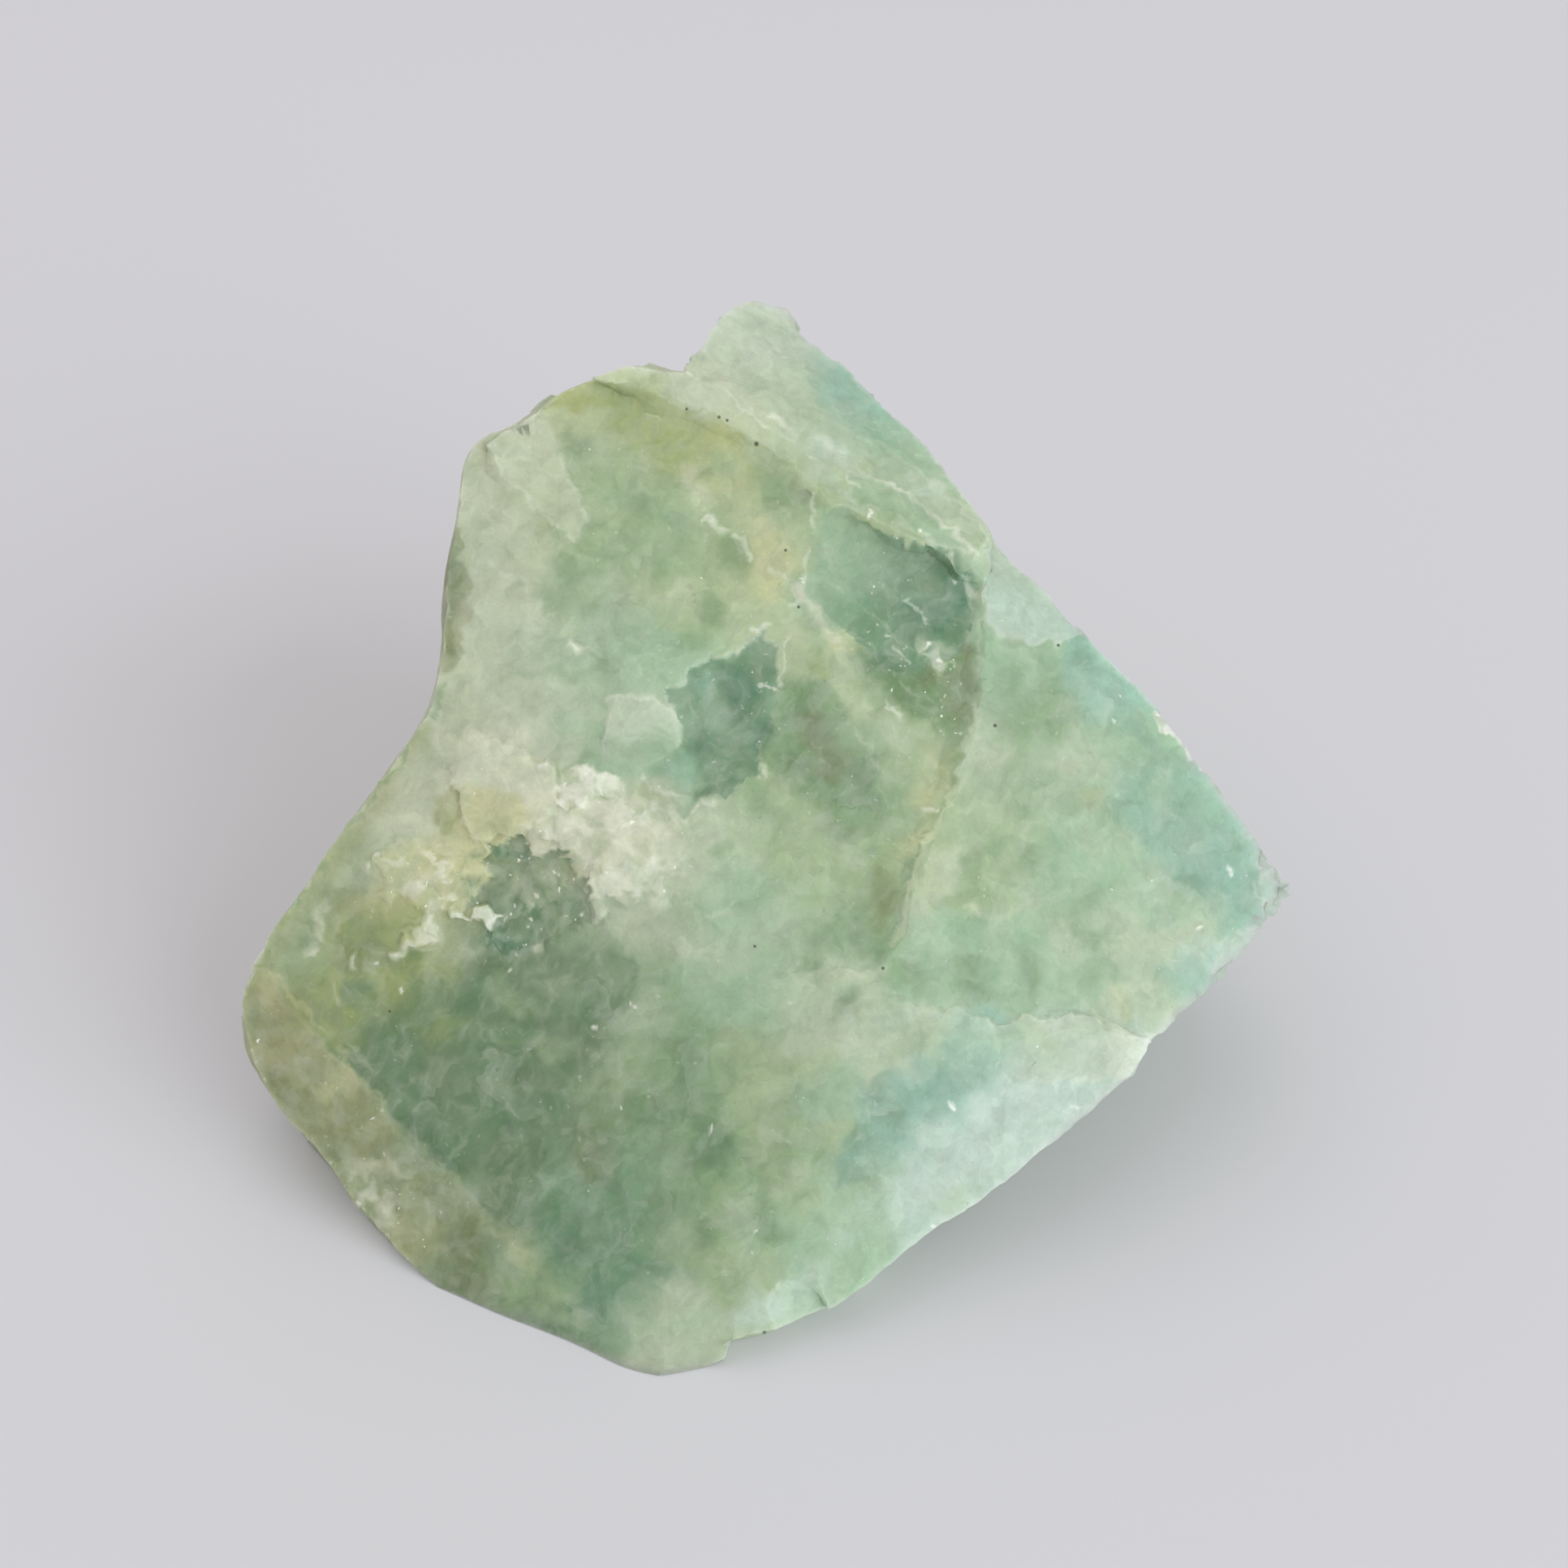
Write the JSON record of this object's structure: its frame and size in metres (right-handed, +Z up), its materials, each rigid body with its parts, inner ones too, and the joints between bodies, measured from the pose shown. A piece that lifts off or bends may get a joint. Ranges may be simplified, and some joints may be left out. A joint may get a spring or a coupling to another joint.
{
  "type": "raw aquamarine",
  "caption": "Palm-size lump of raw cloudy beryl with flat fracture faces, stepped ledges and a rough crust, lying on a flat face.",
  "frame": {"origin": "middle of the stone's bounding box at the height of its resting face", "axes": "+Z up from the resting face, +X to the right as seen from the broad front, +Y to the back"},
  "size_m": [0.0666, 0.0589, 0.0408],
  "materials": {
    "aquamarine": "waxy, cloudy, translucent at thin edges"
  },
  "bodies": {
    "root": {"aquamarine": "aquamarine"}
  },
  "joints": []
}
